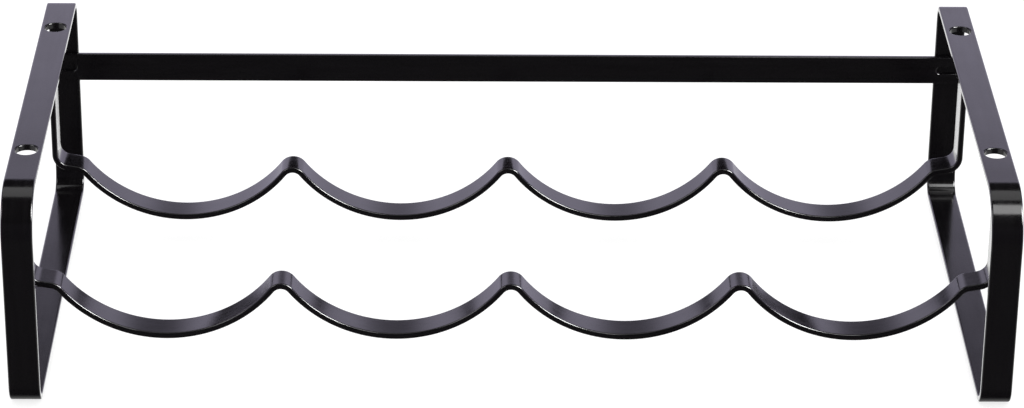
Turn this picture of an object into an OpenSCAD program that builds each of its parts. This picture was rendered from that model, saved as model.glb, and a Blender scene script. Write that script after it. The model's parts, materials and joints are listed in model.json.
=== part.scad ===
// Countertop wine rack: two end loops, two scalloped bottle rails and a rear
// crossbar, all bent from one size of flat steel bar and welded together.
// Origin: centre of the footprint, on the surface the rack stands on.
// +X runs along the rack, +Y towards the crossbar at the rear, +Z up.

/* [Rack] */
// Overall width, over the outer edges of the end loops
rack_w = 480; // [360:10:640]
// Overall depth, front to rear
rack_d = 240; // [200:5:320]
// Overall height
rack_h = 110; // [88:1:126]

/* [Flat bar] */
// Width of the flat bar that every piece is bent from
bar_w = 15; // [12:0.5:20]
// Thickness of the flat bar
bar_t = 3; // [2:0.5:4]

/* [End loops] */
// Outer radius of a loop's top rear bend
rear_top_bend_r = 8; // [6:1:20]
// Outer radius of its bottom rear bend
rear_foot_bend_r = 12; // [6:1:20]
// Outer radius of its top front bend
front_top_bend_r = 24; // [8:1:28]
// Outer radius of its bottom front bend
front_foot_bend_r = 11; // [6:1:20]
// Width of the butt weld that closes each loop in its bottom run
seam_w = 2; // [1:0.5:4]

/* [Bottle rails] */
// Number of bottles that lie side by side
bays = 4; // [3:1:5]
// Depth of a scallop below the crests beside it
scallop_depth = 27; // [18:1:34]
// Radius of the crest between two scallops, at the middle of the bar
crest_r = 6; // [5:0.5:12]
// Height of the rear rail's crests, at their upper face
rear_crest_z = 44.5; // [40:0.5:52]
// How much higher the front rail is, so that bottles lean on the crossbar
front_lift = 5; // [0:1:12]
// Front edge of the rack to the middle of the front rail
front_rail_in = 41; // [34:1:60]
// Rear edge of the rack to the middle of the rear rail
rear_rail_in = 60; // [56:1:76]
// Length of the straight run between the last crest and the upright tab
end_run = 5.5; // [2:0.5:10]
// Upward slope of that straight run, in degrees
end_slope = 10; // [0:1:20]
// Radius of the bend up into the tab, at the middle of the bar
tab_bend_r = 7.5; // [5:0.5:12]

/* [Rear crossbar] */
// Top of the rack to the crossbar's centre line
crossbar_drop = 37; // [34:1:46]

/* [Holes and slots] */
// Diameter of the holes in the top runs
hole_d = 11; // [6:0.5:12]
// Clear metal between the front rail's tab and the hole behind it
front_hole_gap = 2; // [1.5:0.5:8]
// Clear metal between the rear rail's tab and the hole behind it
rear_hole_gap = 9; // [2:0.5:10]
// Width of the weld slots in the ends of the crossbar
slot_w = 4; // [3:0.5:6]
// Metal left beyond each end of a slot
slot_edge = 1; // [1:0.25:3]

/* [Welds] */
// Depth of the weld metal that fills the floor of a slot
slot_weld_t = 1.25; // [0.75:0.25:1.75]
// Leg of the fillet welds
weld_leg = 2; // [1:0.25:3]
// How far a fillet weld stops short of the bar's edges
weld_inset = 1; // [0.5:0.25:2]

/* [Hidden] */
$fn = 96;
coat = [0.10, 0.095, 0.11];
LEFT = -1;
RIGHT = 1;

// Middle of each end loop's bar, where tabs and weld slots are centred
loop_x = rack_w / 2 - bar_w / 2;
// Underside of the top runs and inner face of the rear uprights
top_z = rack_h - bar_t;
rear_y = rack_d / 2 - bar_t;
// Middle of each rail, front to rear
front_rail_y = front_rail_in - rack_d / 2;
rear_rail_y = rack_d / 2 - rear_rail_in;
front_crest_z = rear_crest_z + front_lift;
crossbar_z = rack_h - crossbar_drop;
// Middle of the holes in the top runs
hole_off = bar_w / 2 + hole_d / 2;
front_hole_y = front_rail_y + hole_off + front_hole_gap;
rear_hole_y = rear_rail_y + hole_off + rear_hole_gap;
slot_len = bar_w - 2 * slot_edge;
// What a cut runs past the face it opens
cut = 1;
// Largest step between the stations of a bend, in degrees
bend_step = 4;

// Bottle spacing: the crests divide what the two ends of a rail leave
half_span = loop_x - tab_bend_r * (1 - sin(end_slope))
    - end_run * cos(end_slope) + crest_r * sin(end_slope);
pitch = 2 * half_span / bays;
// A scallop and a crest meet in a common tangent, each turning by the same
// angle: both radii together follow from the pitch and the scallop's depth
radii = (pitch * pitch / 4 + scallop_depth * scallop_depth) / (2 * scallop_depth);
scallop_r = radii - crest_r;
flank = asin(pitch / 2 / radii);

// A bar is drawn from its bending plan. The plan is a list of straight runs
// and bends that carry on from each other, and the path through them is a list
// of stations: the bar's middle in side view, and its heading in degrees.
function run(len) = [len];
function bend(r, heading) = [r, heading];

function ahead(from, len) = [
    from[0] + len * cos(from[2]),
    from[1] + len * sin(from[2]),
    from[2]
];

function turned(from, r, heading) = let (
    side = sign(heading - from[2]),
    steps = ceil(abs(heading - from[2]) / bend_step)
) [
    for (i = [1 : steps]) let (h = from[2] + (heading - from[2]) * i / steps) [
        from[0] + side * r * (sin(h) - sin(from[2])),
        from[1] - side * r * (cos(h) - cos(from[2])),
        h
    ]
];

function path(stations, plan, i = 0) = i == len(plan)
    ? stations
    : let (
        here = stations[len(stations) - 1],
        next = len(plan[i]) == 1
            ? [ahead(here, plan[i][0])]
            : turned(here, plan[i][0], plan[i][1])
    ) path(concat(stations, next), plan, i + 1);

// One face of the bar, half its thickness to the left (1) or right (-1)
function face(stations, side) = [
    for (s = stations) [s[0], s[1]] + side * bar_t / 2 * [-sin(s[2]), cos(s[2])]
];

function backwards(list) = [for (i = [len(list) - 1 : -1 : 0]) list[i]];

// The flat bar bent to a plan, its width centred on the plane it is bent in
module bent_bar(start, plan) {
    stations = path([start], plan);
    linear_extrude(bar_w, center = true)
        polygon(concat(face(stations, 1), backwards(face(stations, -1))));
}

// One bottle rail, centred on y, with the upper face of its crests at crest_z.
// Its plan runs from the top of the left tab to the top of the right tab
module rail(y, crest_z) {
    crest_mid_z = crest_z - bar_t / 2;
    tab_foot_z = crest_mid_z - crest_r * (1 - cos(end_slope))
        + end_run * sin(end_slope) + tab_bend_r * cos(end_slope);
    tab_len = top_z - tab_foot_z;
    into = [run(tab_len), bend(tab_bend_r, -end_slope), run(end_run), bend(crest_r, -flank)];
    waves = [
        for (i = [1 : bays])
            each [bend(scallop_r, flank), bend(crest_r, i < bays ? -flank : end_slope)]
    ];
    out = [run(end_run), bend(tab_bend_r, 90), run(tab_len)];
    translate([0, y, 0]) rotate([90, 0, 0])
        bent_bar([-loop_x, top_z, -90], concat(into, waves, out));
}

module front_rail() {
    color(coat) rail(front_rail_y, front_crest_z);
}

module rear_rail() {
    color(coat) rail(rear_rail_y, rear_crest_z);
}

// The outline of a weld slot, with round ends along X, drawn out forwards over
// depth from a place that is behind the upright's inner face
module slot(side, behind, depth) {
    translate([side * loop_x, rear_y + behind, crossbar_z]) rotate([90, 0, 0])
        linear_extrude(depth)
            union() {
                square([slot_len - slot_w, slot_w], center = true);
                for (s = [LEFT, RIGHT])
                    translate([s * (slot_len - slot_w) / 2, 0]) circle(d = slot_w);
            }
}

// One end loop: a rectangle of flat bar with four bends, standing in the YZ
// plane, open by seam_w in the middle of its bottom run
module end_loop(side) {
    half_d = (rack_d - seam_w) / 2;
    plan = [
        run(half_d - rear_foot_bend_r),
        bend(rear_foot_bend_r - bar_t / 2, 90),
        run(rack_h - rear_foot_bend_r - rear_top_bend_r),
        bend(rear_top_bend_r - bar_t / 2, 180),
        run(rack_d - rear_top_bend_r - front_top_bend_r),
        bend(front_top_bend_r - bar_t / 2, 270),
        run(rack_h - front_top_bend_r - front_foot_bend_r),
        bend(front_foot_bend_r - bar_t / 2, 360),
        run(half_d - front_foot_bend_r)
    ];
    difference() {
        translate([side * loop_x, 0, 0]) rotate([90, 0, 90])
            bent_bar([seam_w / 2, bar_t / 2, 0], plan);
        for (y = [front_hole_y, rear_hole_y])
            translate([side * loop_x, y, top_z - cut]) cylinder(d = hole_d, h = bar_t + 2 * cut);
    }
}

module left_end_loop() {
    color(coat) end_loop(LEFT);
}

module right_end_loop() {
    color(coat) end_loop(RIGHT);
}

// The rear crossbar lies flat against the inner faces of the rear uprights, and
// is welded to them through a slot in each end
module rear_crossbar() {
    color(coat) difference() {
        translate([-rack_w / 2, rear_y - bar_t, crossbar_z - bar_w / 2])
            cube([rack_w, bar_t, bar_w]);
        for (side = [LEFT, RIGHT])
            slot(side, cut, bar_t + 2 * cut);
    }
}

// A fillet weld with a rounded face: it fills the corner between -Y and +Z
// and is centred on X
module fillet_weld() {
    len = bar_w - 2 * weld_inset;
    translate([-len / 2, 0, 0]) intersection() {
        translate([0, -weld_leg, 0]) cube([len, weld_leg, weld_leg]);
        rotate([0, 90, 0]) cylinder(r = weld_leg, h = len);
    }
}

// The weld on the floor of a slot, where the slot lies over a rear upright
module crossbar_weld(side) {
    slot(side, 0, slot_weld_t);
}

// Welds on both faces of a rail's tab, under the top run
module tab_weld(side, y) {
    for (face = [0, 1])
        translate([side * loop_x, y, top_z]) mirror([face, 0, 0])
            translate([bar_t / 2, 0, 0]) rotate([0, 0, 90]) mirror([0, 0, 1]) fillet_weld();
}

// The butt weld in a loop's bottom run, ground flush with the bar
module loop_seam_weld(side) {
    translate([side * loop_x - bar_w / 2, -seam_w / 2, 0]) cube([bar_w, seam_w, bar_t]);
}

module left_crossbar_weld() {
    color(coat) crossbar_weld(LEFT);
}

module right_crossbar_weld() {
    color(coat) crossbar_weld(RIGHT);
}

module front_left_tab_weld() {
    color(coat) tab_weld(LEFT, front_rail_y);
}

module front_right_tab_weld() {
    color(coat) tab_weld(RIGHT, front_rail_y);
}

module rear_left_tab_weld() {
    color(coat) tab_weld(LEFT, rear_rail_y);
}

module rear_right_tab_weld() {
    color(coat) tab_weld(RIGHT, rear_rail_y);
}

module left_loop_seam_weld() {
    color(coat) loop_seam_weld(LEFT);
}

module right_loop_seam_weld() {
    color(coat) loop_seam_weld(RIGHT);
}

left_end_loop();
right_end_loop();
rear_crossbar();
front_rail();
rear_rail();
left_crossbar_weld();
right_crossbar_weld();
front_left_tab_weld();
front_right_tab_weld();
rear_left_tab_weld();
rear_right_tab_weld();
left_loop_seam_weld();
right_loop_seam_weld();
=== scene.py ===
import json
import math

import bmesh
import bpy
import numpy as np
from mathutils import Matrix, Vector


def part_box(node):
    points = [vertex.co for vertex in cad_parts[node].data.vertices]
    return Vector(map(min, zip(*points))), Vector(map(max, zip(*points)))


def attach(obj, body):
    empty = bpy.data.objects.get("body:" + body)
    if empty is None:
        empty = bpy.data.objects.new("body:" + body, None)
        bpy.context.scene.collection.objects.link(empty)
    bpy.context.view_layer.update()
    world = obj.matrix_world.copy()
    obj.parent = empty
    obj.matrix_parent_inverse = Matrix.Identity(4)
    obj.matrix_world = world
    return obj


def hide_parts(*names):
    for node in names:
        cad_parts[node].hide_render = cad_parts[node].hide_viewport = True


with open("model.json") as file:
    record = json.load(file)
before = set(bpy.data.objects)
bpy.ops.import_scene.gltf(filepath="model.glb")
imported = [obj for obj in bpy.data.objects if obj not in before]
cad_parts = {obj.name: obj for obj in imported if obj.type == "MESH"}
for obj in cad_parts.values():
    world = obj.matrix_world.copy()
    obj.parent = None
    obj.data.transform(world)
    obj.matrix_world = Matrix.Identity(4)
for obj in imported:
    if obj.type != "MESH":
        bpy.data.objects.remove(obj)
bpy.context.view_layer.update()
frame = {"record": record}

# A countertop wine rack of black powder-coated flat bar, in metres.
# Every bar is its rounded section carried along the path that it is bent to, and
# every weld is a small surface of its own in the place where the bars are joined.

MM = 0.001

# ---------------------------------------------------------------- sizes
# Sizes that the frame holds
loop_low, loop_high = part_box("right_end_loop")
cross_low, cross_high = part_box("rear_crossbar")
seam_low, seam_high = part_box("right_loop_seam_weld")
pad_low, pad_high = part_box("right_crossbar_weld")
MOUNTS = {m["name"]: m for m in frame["record"]["mounts"]}
HOLES = MOUNTS["top_screw_holes"]

BAR_W = loop_high.x - loop_low.x
BAR_T = cross_high.y - cross_low.y
RACK_D = loop_high.y - loop_low.y
RACK_H = loop_high.z
LOOP_X = (loop_low.x + loop_high.x) / 2
SEAM_W = seam_high.y - seam_low.y
HOLE_R = HOLES["dims"]["hole_r_mm"] * MM
HOLE_GAP = HOLES["dims"]["spacing_y_mm"] * MM
HOLE_Y = [HOLES["pos_m"][1] + s * HOLE_GAP / 2 for s in (-1, 1)]
SLOT_R = (pad_high.z - pad_low.z) / 2
SLOT_CORE = (pad_high.x - pad_low.x) / 2 - SLOT_R
CROSSBAR_Z = (cross_low.z + cross_high.z) / 2

# Outer radii of a loop's bends
REAR_TOP_BEND_R = 8 * MM
REAR_FOOT_BEND_R = 12 * MM
FRONT_TOP_BEND_R = 24 * MM
FRONT_FOOT_BEND_R = 11 * MM

# A rail's bends
BAYS = 4
SCALLOP_DEPTH = 27 * MM
CREST_R = 6 * MM
TAB_BEND_R = 7.5 * MM
END_RUN = 5.5 * MM
END_SLOPE = math.radians(10)

# Rounding of edges, hole rims and the crossbar's ends
EDGE_R = 0.8 * MM
HOLE_RIM_R = 0.55 * MM
SLOT_RIM_R = 0.6 * MM
BACK_RIM_R = 0.15 * MM
END_R = 0.3 * MM

# Weld metal
RIPPLE = 1.6 * MM
BEAD_DIP = 0.14
SEAM_DIP = 0.12 * MM
PAD_DIP = 0.06 * MM

# Fineness of the surfaces. The guards are narrow cells beside an edge or a bend, which
# keep the flat next to it evenly lit
BEND_STEP = math.radians(2.5)
RUN_STEP = 8 * MM
GUARD = 0.12 * MM
RUN_GUARD = 0.8 * MM
WINDOW_CELLS = 16
PLAIN_CELLS = 4
EDGE_CELLS = 5
RIPPLE_CELLS = 10
BEAD_CELLS = 10
PAD_POINTS = 96
MERGE_DISTANCE = 1e-7
SHARP_FROM = math.radians(38)

# Rows between a window and its hole's rim, as parts of the way
WINDOW_ROWS = (0, 0.35, 0.7, 0.92)

# Powder coat: its two blacks, its gloss from wet to dull, and the part of a noise that
# the gloss follows
COAT_DARK = (0.0024, 0.0020, 0.0025, 1)
COAT_LIGHT = (0.0052, 0.0045, 0.0055, 1)
GLOSS_WET, GLOSS_DULL = 0.11, 0.18
NOISE_LOW, NOISE_HIGH = 0.3, 0.7

# Patterns in the coat: cells per metre, and height in metres
STREAK_SCALE, STREAK_HEIGHT = 420, 0.000004
CLOUD_SCALE = 60
WAVE_SCALE, WAVE_HEIGHT = 30, 0.00006
PEEL_SCALE, PEEL_HEIGHT = 900, 0.000008
WELD_HEIGHT = 0.00004
STREAK_STRETCH = 0.06


# ---------------------------------------------------------------- surfaces
class Shell:
    """Grids of points that share their borders, merged into one closed mesh."""

    def __init__(self):
        self.points = []
        self.faces = []
        self.count = 0

    def grid(self, points, keep=None):
        """Quads over rows of points, each row a closed line. A cell stays where keep is true."""
        rows, columns = points.shape[:2]
        index = np.arange(rows * columns).reshape(rows, columns) + self.count
        index = np.hstack([index, index[:, :1]])
        quads = np.stack(
            [index[:-1, :-1], index[:-1, 1:], index[1:, 1:], index[1:, :-1]], axis=-1
        )
        quads = quads.reshape(-1, 4) if keep is None else quads[keep]
        self.points.append(points.reshape(-1, 3))
        self.faces.extend(quads.tolist())
        self.count += rows * columns

    def cap(self, points):
        """One flat face over a closed outline."""
        self.faces.append(list(range(self.count, self.count + len(points))))
        self.points.append(points)
        self.count += len(points)

    def mesh(self, name):
        """Points closer than a tenth of a micrometre become one, and faces point outwards."""
        data = bpy.data.meshes.new(name)
        data.from_pydata(np.vstack(self.points), [], self.faces)
        shape = bmesh.new()
        shape.from_mesh(data)
        bmesh.ops.remove_doubles(shape, verts=shape.verts, dist=MERGE_DISTANCE)
        bmesh.ops.recalc_face_normals(shape, faces=shape.faces)
        shape.to_mesh(data)
        shape.free()
        data.shade_smooth()
        data.set_sharp_from_angle(angle=SHARP_FROM)
        return data


def run(length, cells=0):
    """A straight run of a bending plan. With cells it is cut evenly, to hold a hole."""
    return "run", length, cells


def bend(radius, heading):
    """A bend of a bending plan, at that mid radius, until the bar has that heading."""
    return "bend", radius, heading


def run_steps(length, cells):
    """Distances along a run: even cells, or even steps with one more close to each end."""
    if cells:
        return length * np.arange(1, cells + 1) / cells
    if length < 3 * RUN_GUARD:
        return np.array([length])
    inner = np.linspace(RUN_GUARD, length - RUN_GUARD, max(2, int(length / RUN_STEP) + 1))
    return np.append(inner, length)


def follow(start, plan):
    """Stations along a bending plan, and the number of the station where each move starts.

    A station is two coordinates and a heading. A run goes straight along its heading.
    In a bend of radius r the middle of the bar turns about a centre one radius to its
    side, so it moves by r times the change in (sine, minus cosine) of the heading, and
    by the opposite in a bend to the right.
    """
    rows = [np.array([start], float)]
    for kind, size, more in plan:
        a, b, heading = rows[-1][-1]
        if kind == "run":
            s = run_steps(size, more)
            turned = np.full(len(s), heading)
            step = np.column_stack([s * math.cos(heading), s * math.sin(heading)])
        else:
            cells = math.ceil(abs(more - heading) / BEND_STEP)
            turned = heading + (more - heading) * np.arange(1, cells + 1) / cells
            r = math.copysign(size, more - heading)
            step = r * np.column_stack(
                [np.sin(turned) - math.sin(heading), math.cos(heading) - np.cos(turned)]
            )
        rows.append(np.column_stack([step + (a, b), turned]))
    return np.vstack(rows), np.cumsum([len(row) for row in rows]) - 1


def guarded(half, cells):
    """Points from -half to half: even cells, with a narrow strip beyond them at each end."""
    inner = half - GUARD
    return np.concatenate([[-half], np.linspace(-inner, inner, cells + 1), [half]])


def section(cells):
    """The bar's rounded section, as a closed line of (across, through) points.

    The four sides are straight and the four edges are quarter circles. It starts on
    the right-hand face and comes back along the left-hand one.
    """
    flat, side = BAR_W / 2 - EDGE_R, BAR_T / 2 - EDGE_R
    across, through = guarded(flat, cells), guarded(side, 1)
    turn = np.linspace(0, math.pi / 2, EDGE_CELLS + 1)[1:-1]
    parts = []
    for k in range(4):
        along = across if k % 2 == 0 else through
        reach = (side if k % 2 == 0 else flat) + EDGE_R
        angle = k * math.pi / 2
        corner = (flat, -side) if k % 2 == 0 else (side, -flat)
        edge = np.column_stack(
            [corner[0] + EDGE_R * np.sin(turn), corner[1] - EDGE_R * np.cos(turn)]
        )
        line = np.vstack([np.column_stack([along, np.full(len(along), -reach)]), edge])
        c, s = math.cos(angle), math.sin(angle)
        parts.append(line @ np.array([[c, s], [-s, c]]))
    return np.vstack(parts)


def carried(stations, outline, place):
    """The section carried along the stations.

    At a station of heading h, a point (across, through) of the section lies through
    times (minus sine h, cosine h) off the middle of the bar, and across along its
    width. place turns (first, second, across) into a point in space.
    """
    a, b, heading = (stations[:, k, None] for k in range(3))
    across, through = outline[None, :, 0], outline[None, :, 1]
    first = a - through * np.sin(heading)
    second = b + through * np.cos(heading)
    return place(first, second, across + 0 * first)


def in_loop(x):
    """A loop is bent in the YZ plane, with the bar's width along X."""
    return lambda a, b, across: np.stack([x + across, a, b], axis=-1)


def in_rail(y):
    """A rail is bent in the XZ plane, with the bar's width along Y."""
    return lambda a, b, across: np.stack([a, y + across, b], axis=-1)


def in_crossbar(z):
    """The crossbar runs along X, with its width standing along Z."""
    return lambda a, b, across: np.stack([a, b, z + across], axis=-1)


def border(cells):
    """Row and column numbers around the border of a square of cells, in order."""
    step = np.arange(cells)
    rows = [step, 0 * step + cells, cells - step, 0 * step]
    columns = [0 * step, step, 0 * step + cells, cells - step]
    return np.concatenate(rows), np.concatenate(columns)


def hole_wall(window, radius, core, rim_r):
    """The surface from a window in the outer face, down a hole, to the inner face.

    window holds the border points as (along, across) from the hole's centre. Each
    goes to the nearest point of the hole's core line, a point for a round hole, and
    then out by the hole's radius. The outer face narrows to the rim, the rim rounds
    over a quarter circle, the wall runs straight down, and a smaller quarter circle
    rounds it into the inner face. A row is (along, across, through).
    """
    middle = np.clip(window, -np.array(core), np.array(core))
    out = (window - middle) / np.linalg.norm(window - middle, axis=1, keepdims=True)
    turn = np.linspace(0, math.pi / 2, EDGE_CELLS + 1)

    def side(rim_radius, way):
        """Rows from a window to the wall. way is -1 at the outer face, 1 at the inner one."""
        edge = middle + (radius + rim_radius) * out
        rows = [(window + (edge - window) * f, way * BAR_T / 2) for f in WINDOW_ROWS]
        for t in turn:
            outline = middle + (radius + rim_radius * (1 - math.sin(t))) * out
            rows.append((outline, way * (BAR_T / 2 - rim_radius * (1 - math.cos(t)))))
        return rows

    rows = side(rim_r, -1) + side(BACK_RIM_R, 1)[::-1]
    return [(p[:, 0], p[:, 1], through) for p, through in rows]


def shrunk_rows(stations, less, outline, place):
    """The section carried along the stations, each time smaller all round by less."""
    scale = 1 - less[:, None] / np.array([BAR_W / 2, BAR_T / 2])
    rows = [carried(row[None], outline * k, place)[0] for row, k in zip(stations, scale)]
    return np.stack(rows)


def end_rows(station, way, outline, place):
    """Rows that round a bar's end: END_R before the end the section is whole, and over
    a quarter circle it gets smaller all round by END_R. way is 1 at the bar's start."""
    turn = np.linspace(math.pi / 2, 0, EDGE_CELLS + 1)
    a, b, heading = station
    back = way * END_R * (1 - np.sin(turn))
    along, side = a + back * math.cos(heading), b + back * math.sin(heading)
    stations = np.column_stack([along, side, heading + 0 * turn])
    return shrunk_rows(stations, END_R * (1 - np.cos(turn)), outline, place)


def bar(name, start, plan, place, coat, holes=(), rounded_ends=False):
    """A bar bent to a plan: its section carried along the stations, with a cap at each end.

    holes gives a radius, a core and a rim for each evenly cut run. There the grid has a
    window in its outer and its inner face, and a hole's wall joins the two windows.
    """
    stations, move_starts = follow(start, plan)
    outline = section(WINDOW_CELLS if holes else PLAIN_CELLS)
    points = carried(stations, outline, place)
    keep = np.ones((len(stations) - 1, len(outline)), bool)
    shell = Shell()
    cut_runs = [k for k, move in enumerate(plan) if move[0] == "run" and move[2]]
    inner_face = len(outline) // 2
    for k, (radius, core, rim_r) in zip(cut_runs, holes):
        first, last = move_starts[k], move_starts[k] + WINDOW_CELLS
        for column in (1, inner_face + 1):
            keep[first:last, column : column + WINDOW_CELLS] = False
        i, j = border(WINDOW_CELLS)
        a, b, heading = stations[(first + last) // 2]
        c, s = math.cos(heading), math.sin(heading)
        along = (stations[first + i, 0] - a) * c + (stations[first + i, 1] - b) * s
        window = np.column_stack([along, outline[1 + j, 0]])
        rows = [
            place(a + p * c - v * s, b + p * s + v * c, q)
            for p, q, v in hole_wall(window, radius, core, rim_r)
        ]
        shell.grid(np.stack(rows))
    ends = [points[0], points[-1]]
    if rounded_ends:
        keep[[0, -1]] = False
        start_end = end_rows(stations[0], 1, outline, place)
        far_end = end_rows(stations[-1], -1, outline, place)
        shell.grid(np.concatenate([start_end, points[1:2]]))
        shell.grid(np.concatenate([far_end, points[-2:-1]]))
        ends = [start_end[0], far_end[0]]
    shell.grid(points, keep=keep)
    for end in ends:
        shell.cap(end)
    return piece(name, shell.mesh(name), coat)


def piece(name, mesh, coat):
    """An object for a finished mesh, in the frame's one body, standing for its CAD node."""
    obj = bpy.data.objects.new(name + "_coated", mesh)
    bpy.context.scene.collection.objects.link(obj)
    mesh.materials.append(coat)
    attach(obj, "root")
    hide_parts(name)
    return obj


# ---------------------------------------------------------------- bars
def end_loop(name, side, coat):
    """A rectangle of bar with four bends and two screw holes in its top run.

    The plan starts at one side of the seam weld under the rack and goes round to its
    other side: rear foot, rear top, front top, front foot. A bend turns the heading a
    quarter turn about a mid radius of its outer radius less half the bar.
    """
    half_d = (RACK_D - SEAM_W) / 2
    window = BAR_W - 2 * EDGE_R
    front, rear = HOLE_Y
    rear_end = RACK_D / 2 - REAR_TOP_BEND_R
    front_end = RACK_D / 2 - FRONT_TOP_BEND_R
    plan = [
        run(half_d - REAR_FOOT_BEND_R),
        bend(REAR_FOOT_BEND_R - BAR_T / 2, math.pi / 2),
        run(RACK_H - REAR_FOOT_BEND_R - REAR_TOP_BEND_R),
        bend(REAR_TOP_BEND_R - BAR_T / 2, math.pi),
        run(rear_end - rear - window / 2),
        run(window, WINDOW_CELLS),
        run(rear - front - window),
        run(window, WINDOW_CELLS),
        run(front + front_end - window / 2),
        bend(FRONT_TOP_BEND_R - BAR_T / 2, 1.5 * math.pi),
        run(RACK_H - FRONT_TOP_BEND_R - FRONT_FOOT_BEND_R),
        bend(FRONT_FOOT_BEND_R - BAR_T / 2, 2 * math.pi),
        run(half_d - FRONT_FOOT_BEND_R),
    ]
    hole = (HOLE_R, (0, 0), HOLE_RIM_R)
    start = (SEAM_W / 2, BAR_T / 2, 0)
    return bar(name, start, plan, in_loop(side * LOOP_X), coat, [hole, hole])


def bottle_rail(name, coat):
    """A row of scallops between two upright tabs, all of one bar.

    The scallops are arcs that touch the crests' arcs. The two radii add up to half
    the pitch squared plus the depth squared, over twice the depth, and the arcs meet at
    a heading whose sine is half the pitch over that sum.
    """
    low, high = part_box(name)
    tab_x = high.x - BAR_T / 2
    crest_z = low.z + BAR_T / 2 + SCALLOP_DEPTH
    tab_in = TAB_BEND_R * (1 - math.sin(END_SLOPE))
    crest_in = END_RUN * math.cos(END_SLOPE) - CREST_R * math.sin(END_SLOPE)
    pitch = 2 * (tab_x - tab_in - crest_in) / BAYS
    both_radii = (pitch**2 / 4 + SCALLOP_DEPTH**2) / (2 * SCALLOP_DEPTH)
    flank = math.asin(pitch / 2 / both_radii)
    run_foot = crest_z - CREST_R * (1 - math.cos(END_SLOPE))
    tab_foot = run_foot + END_RUN * math.sin(END_SLOPE) + TAB_BEND_R * math.cos(END_SLOPE)
    waves = []
    for k in range(BAYS):
        after = -flank if k < BAYS - 1 else END_SLOPE
        waves += [bend(both_radii - CREST_R, flank), bend(CREST_R, after)]
    plan = [
        run(high.z - tab_foot),
        bend(TAB_BEND_R, -END_SLOPE),
        run(END_RUN),
        bend(CREST_R, -flank),
        *waves,
        run(END_RUN),
        bend(TAB_BEND_R, math.pi / 2),
        run(high.z - tab_foot),
    ]
    start = (-tab_x, high.z, -math.pi / 2)
    return bar(name, start, plan, in_rail((low.y + high.y) / 2), coat)


def crossbar(name, coat):
    """The straight stop bar across the rear, with a slot at each end: one line of
    constant height, cut by two windows that stand over the end loops' middles."""
    window = 2 * (SLOT_CORE + SLOT_R + SLOT_RIM_R) + GUARD
    end = cross_high.x - LOOP_X - window / 2
    plan = [
        run(end),
        run(window, WINDOW_CELLS),
        run(2 * LOOP_X - window),
        run(window, WINDOW_CELLS),
        run(end),
    ]
    slot = (SLOT_R, (SLOT_CORE, 0), SLOT_RIM_R)
    start = (cross_low.x, (cross_low.y + cross_high.y) / 2, 0)
    return bar(name, start, plan, in_crossbar(CROSSBAR_Z), coat, [slot, slot], rounded_ends=True)


# ---------------------------------------------------------------- welds
def tab_weld(name, coat):
    """A bead in the corner between each face of a tab and the top run above it.

    Its section is a quarter disc about the corner. Along the bead the disc's radius
    is the leg, less a ripple that repeats a cosine, and it falls to nothing over the
    last leg of the bead like the end of a ball.
    """
    low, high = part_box(name)
    leg = (high.x - low.x - BAR_T) / 2
    half = (high.y - low.y) / 2
    s = np.linspace(-half, half, 2 * RIPPLE_CELLS * int(half / RIPPLE) + 1)
    past = np.clip(np.abs(s) - (half - leg), 0, leg) / leg
    ripple = 1 - BEAD_DIP * (0.5 + 0.5 * np.cos(2 * math.pi * s / RIPPLE))
    radius = (leg * np.sqrt(1 - past**2) * ripple)[:, None]
    turn = np.linspace(0, math.pi / 2, BEAD_CELLS)
    across = np.append(np.cos(turn), 0)
    down = np.append(np.sin(turn), 0)
    shell = Shell()
    for face in (-1, 1):
        x = (low.x + high.x) / 2 + face * (BAR_T / 2 + radius * across)
        y = (low.y + high.y) / 2 + s[:, None] + 0 * x
        z = high.z - radius * down
        shell.grid(np.stack([x, y, z], axis=-1))
    return piece(name, shell.mesh(name), coat)


def seam_weld(name, coat):
    """The butt weld of a loop: the bar's section, a little smaller towards both ends of
    the weld, by a dip that grows with the square of the distance from its middle."""
    low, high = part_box(name)
    half = (high.y - low.y) / 2
    s = np.linspace(-half, half, RIPPLE_CELLS + 1)
    stations = np.column_stack([s, np.full_like(s, (low.z + high.z) / 2), 0 * s])
    place = in_loop((low.x + high.x) / 2)
    rows = shrunk_rows(stations, SEAM_DIP * (s / half) ** 2, section(PLAIN_CELLS), place)
    shell = Shell()
    shell.grid(rows)
    shell.cap(rows[0])
    shell.cap(rows[-1])
    return piece(name, shell.mesh(name), coat)


def slot_weld(name, coat):
    """The weld metal on the floor of a slot.

    Its outline stands off a straight core line by the slot's radius. Its face dips by
    a cosine along the slot, and the dip fades with the square of the distance from
    the core line.
    """
    low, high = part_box(name)
    turn = np.linspace(0, 2 * math.pi, PAD_POINTS, endpoint=False)
    reach = np.column_stack([(SLOT_CORE + SLOT_R) * np.cos(turn), SLOT_R * np.sin(turn)])
    core = np.column_stack([np.clip(reach[:, 0], -SLOT_CORE, SLOT_CORE), 0 * turn])
    out = (reach - core) / np.linalg.norm(reach - core, axis=1, keepdims=True)
    f = np.linspace(0, 1, BEAD_CELLS)[:, None]
    x = core[:, 0] + f * SLOT_R * out[:, 0]
    z = core[:, 1] + f * SLOT_R * out[:, 1]
    dip = PAD_DIP * (1 - f**2) * (0.5 + 0.5 * np.cos(2 * math.pi * x / (2 * RIPPLE)))
    front = low.y + dip
    rear = np.full_like(x, high.y)
    x = np.concatenate([x, x[::-1]]) + (low.x + high.x) / 2
    z = np.concatenate([z, z[::-1]]) + (low.z + high.z) / 2
    shell = Shell()
    shell.grid(np.stack([x, np.concatenate([front, rear]), z], axis=-1))
    return piece(name, shell.mesh(name), coat)


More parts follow.
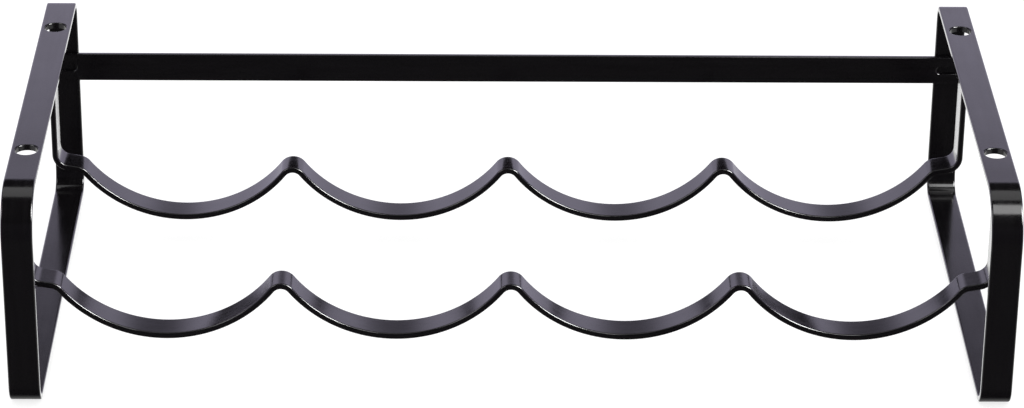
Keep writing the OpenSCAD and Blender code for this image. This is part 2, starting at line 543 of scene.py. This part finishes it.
# ---------------------------------------------------------------- materials
def coat_material(name, across=None, ripple=0.0):
    """Satin black powder coat. The colour drifts between two near blacks, drawn out along
    the bar, and the gloss drifts with it. Three bumps lie over each other: a slow wave
    of the steel, fine streaks along the bar and a fine orange peel. across is the axis
    of the bar's width, and ripple makes the peel coarser on weld metal."""
    material = bpy.data.materials.new(name)
    material.use_nodes = True
    nodes, links = material.node_tree.nodes, material.node_tree.links
    shader = nodes["Principled BSDF"]
    where = nodes.new("ShaderNodeTexCoord")

    def noise(scale, detail, stretched=False):
        cloud = nodes.new("ShaderNodeTexNoise")
        cloud.inputs["Detail"].default_value = detail
        cloud.inputs["Scale"].default_value = scale
        source = where.outputs["Object"]
        if stretched and across is not None:
            size = nodes.new("ShaderNodeMapping")
            scales = [1 if k == across else STREAK_STRETCH for k in range(3)]
            size.inputs["Scale"].default_value = scales
            links.new(source, size.inputs["Vector"])
            source = size.outputs["Vector"]
        links.new(source, cloud.inputs["Vector"])
        return cloud.outputs["Fac"]

    def bump(height, distance, under=None):
        node = nodes.new("ShaderNodeBump")
        node.inputs["Strength"].default_value = 1
        node.inputs["Distance"].default_value = distance
        links.new(height, node.inputs["Height"])
        if under is not None:
            links.new(under, node.inputs["Normal"])
        return node.outputs["Normal"]

    drawn = noise(STREAK_SCALE, detail=3, stretched=True)
    cloud = noise(CLOUD_SCALE, detail=3)
    tone = nodes.new("ShaderNodeMix")
    tone.data_type = "RGBA"
    tone.inputs["A"].default_value = COAT_DARK
    tone.inputs["B"].default_value = COAT_LIGHT
    links.new(drawn, tone.inputs["Factor"])
    links.new(tone.outputs["Result"], shader.inputs["Base Color"])
    blend = nodes.new("ShaderNodeMix")
    blend.inputs["Factor"].default_value = 0.5
    links.new(drawn, blend.inputs["A"])
    links.new(cloud, blend.inputs["B"])
    rough = nodes.new("ShaderNodeMapRange")
    rough.inputs["From Min"].default_value = NOISE_LOW
    rough.inputs["From Max"].default_value = NOISE_HIGH
    rough.inputs["To Min"].default_value = GLOSS_WET
    rough.inputs["To Max"].default_value = GLOSS_DULL
    links.new(blend.outputs["Result"], rough.inputs["Value"])
    links.new(rough.outputs["Result"], shader.inputs["Roughness"])
    wave = bump(noise(WAVE_SCALE, detail=0), WAVE_HEIGHT)
    drag = bump(drawn, STREAK_HEIGHT, wave)
    peel = bump(noise(PEEL_SCALE, detail=1), PEEL_HEIGHT + ripple, drag)
    links.new(peel, shader.inputs["Normal"])
    return material


# ---------------------------------------------------------------- studio
# The floor's half size, grey, dullness and glow, and the room's plain light
FLOOR_HALF = 30
FLOOR_GREY = 0.35
FLOOR_ROUGHNESS = 0.9
FLOOR_GLOW = 0.78
ROOM_LIGHT = 1.1

# How bright reflections see the room, by the height of the direction
SWEEP = [
    (-1, 0.4), (-0.7, 0.5), (-0.5, 1.6), (-0.3, 1.6), (-0.1, 0.9), (0.2, 1.0),
    (0.38, 1.3), (0.42, 1.15), (0.46, 0.35), (0.53, 0.015), (1, 0.015),
]
SWEEP_TINT = np.array([1, 0.94, 1.2])
TINT_FROM = -0.2

# The sweep dims from behind the rack to in front of it, but less so beside it. Each has
# the two distances that it goes between, and its light at both
BEHIND = (-0.25, 0.25, 0.03, 1)
BESIDE = (0.3, 0.65, 0, 0.5)

# Name, place, aim, size and brightness
SOFTBOXES = [
    ("overhead_softbox", (0, 0.36, 1.6), (0, 0.36, 0), (2.4, 0.84), 1.0),
    ("front_right_softbox", (0.6, -0.72, 1.6), (0.6, -0.72, 0), (0.7, 0.7), 4.5),
    ("side_softbox", (1.6, -0.85, 1.5), (0, 0, 0), (1.1, 1.1), 40),
    ("side_filler", (-1.6, -0.85, 1.5), (0, 0, 0), (1.1, 1.1), 4),
]


def studio():
    """A pale floor, a white room that reflections see as a lit sweep, and softboxes."""
    scene = bpy.context.scene
    scene.view_settings.view_transform = "Standard"
    half = FLOOR_HALF
    corners = [(-half, -half, 0), (half, -half, 0), (half, half, 0), (-half, half, 0)]
    floor_mesh = bpy.data.meshes.new("floor")
    floor_mesh.from_pydata(corners, [], [(0, 1, 2, 3)])
    floor = bpy.data.objects.new("floor", floor_mesh)
    scene.collection.objects.link(floor)
    pale = bpy.data.materials.new("pale_floor")
    pale.use_nodes = True
    shader = pale.node_tree.nodes["Principled BSDF"]
    shader.inputs["Base Color"].default_value = (FLOOR_GREY, FLOOR_GREY, FLOOR_GREY, 1)
    shader.inputs["Roughness"].default_value = FLOOR_ROUGHNESS
    shader.inputs["Specular IOR Level"].default_value = 0
    shader.inputs["Emission Color"].default_value = (1, 1, 1, 1)
    shader.inputs["Emission Strength"].default_value = FLOOR_GLOW
    floor_mesh.materials.append(pale)
    floor.visible_glossy = False

    world = bpy.data.worlds.new("studio")
    scene.world = world
    world.use_nodes = True
    nodes, links = world.node_tree.nodes, world.node_tree.links
    nodes.clear()
    plain = nodes.new("ShaderNodeBackground")
    plain.inputs["Color"].default_value = (1, 1, 1, 1)
    plain.inputs["Strength"].default_value = ROOM_LIGHT
    where = nodes.new("ShaderNodeTexCoord")
    split = nodes.new("ShaderNodeSeparateXYZ")
    links.new(where.outputs["Generated"], split.inputs["Vector"])

    def eased(value, low, high, start, end):
        node = nodes.new("ShaderNodeMapRange")
        node.interpolation_type = "SMOOTHSTEP"
        node.inputs["From Min"].default_value = low
        node.inputs["From Max"].default_value = high
        node.inputs["To Min"].default_value = start
        node.inputs["To Max"].default_value = end
        links.new(value, node.inputs["Value"])
        return node.outputs["Result"]

    def calc(operation, first, second=None):
        node = nodes.new("ShaderNodeMath")
        node.operation = operation
        links.new(first, node.inputs[0])
        if second is not None:
            links.new(second, node.inputs[1])
        return node.outputs["Value"]

    height = nodes.new("ShaderNodeMapRange")
    height.inputs["From Min"].default_value = -1
    links.new(split.outputs["Z"], height.inputs["Value"])
    sweep = nodes.new("ShaderNodeValToRGB")
    links.new(height.outputs["Result"], sweep.inputs["Fac"])
    brightest = max(light for z, light in SWEEP)
    ramp = sweep.color_ramp
    while len(ramp.elements) < len(SWEEP):
        ramp.elements.new(1)
    for stop, (z, light) in zip(ramp.elements, SWEEP):
        stop.position = (z + 1) / 2
        tint = SWEEP_TINT if z > TINT_FROM else np.ones(3)
        stop.color = (*(light / brightest * tint), 1)
    behind = eased(split.outputs["Y"], *BEHIND)
    beside = eased(calc("ABSOLUTE", split.outputs["X"]), *BESIDE)
    dim = nodes.new("ShaderNodeMix")
    dim.data_type = "RGBA"
    dim.blend_type = "MULTIPLY"
    dim.inputs["Factor"].default_value = 1
    links.new(sweep.outputs["Color"], dim.inputs["A"])
    links.new(calc("MAXIMUM", behind, beside), dim.inputs["B"])
    mirrored = nodes.new("ShaderNodeBackground")
    mirrored.inputs["Strength"].default_value = brightest
    links.new(dim.outputs["Result"], mirrored.inputs["Color"])
    path = nodes.new("ShaderNodeLightPath")
    mix = nodes.new("ShaderNodeMixShader")
    out = nodes.new("ShaderNodeOutputWorld")
    links.new(path.outputs["Is Glossy Ray"], mix.inputs["Fac"])
    links.new(plain.outputs["Background"], mix.inputs[1])
    links.new(mirrored.outputs["Background"], mix.inputs[2])
    links.new(mix.outputs["Shader"], out.inputs["Surface"])
    for softbox in SOFTBOXES:
        add_softbox(*softbox)


def add_softbox(name, at, aim, size, brightness):
    """A rectangular light. Its power is four times its area times its brightness."""
    light = bpy.data.lights.new(name, "AREA")
    light.shape = "RECTANGLE"
    light.size, light.size_y = size
    light.energy = 4 * size[0] * size[1] * brightness
    obj = bpy.data.objects.new(name, light)
    obj.location = at
    obj.rotation_euler = (Vector(aim) - Vector(at)).to_track_quat("-Z", "Y").to_euler()
    obj.visible_camera = False
    obj.visible_diffuse = False
    bpy.context.scene.collection.objects.link(obj)


# The camera's place, its yaw, pitch and roll in degrees, its lens and its sensor in
# millimetres, and how far it sees
CAMERA_PLACE = (-0.02610, -1.72106, 0.90000)
CAMERA_TURN = (0.914, 26.274, 0.603)
CAMERA_LENS = 134.535
CAMERA_SENSOR = 36
CAMERA_REACH = 200


def camera():
    """A camera that looks down at the rack from in front."""
    yaw, pitch, roll = (math.radians(a) for a in CAMERA_TURN)
    flat = Vector((math.sin(yaw), math.cos(yaw), 0)) * math.cos(pitch)
    forward = flat - Vector((0, 0, math.sin(pitch)))
    right = Vector((math.cos(yaw), -math.sin(yaw), 0))
    up = right.cross(forward)
    turned = Matrix((right, up, -forward)).transposed() @ Matrix.Rotation(roll, 3, "Z")
    data = bpy.data.cameras.new("camera")
    data.sensor_width = CAMERA_SENSOR
    data.lens = CAMERA_LENS
    data.clip_end = CAMERA_REACH
    obj = bpy.data.objects.new("camera", data)
    obj.matrix_world = Matrix.Translation(CAMERA_PLACE) @ turned.to_4x4()
    bpy.context.scene.collection.objects.link(obj)
    bpy.context.scene.camera = obj


# ---------------------------------------------------------------- the rack
loop_coat = coat_material("loop_powder_coat", across=0)
rail_coat = coat_material("rail_powder_coat", across=1)
crossbar_coat = coat_material("crossbar_powder_coat", across=2)
weld_coat = coat_material("weld_powder_coat", ripple=WELD_HEIGHT)
for side, at in (("left", -1), ("right", 1)):
    end_loop(f"{side}_end_loop", at, loop_coat)
    seam_weld(f"{side}_loop_seam_weld", weld_coat)
    slot_weld(f"{side}_crossbar_weld", weld_coat)
    for row in ("front", "rear"):
        tab_weld(f"{row}_{side}_tab_weld", weld_coat)
for row in ("front", "rear"):
    bottle_rail(f"{row}_rail", rail_coat)
crossbar("rear_crossbar", crossbar_coat)

camera()
studio()
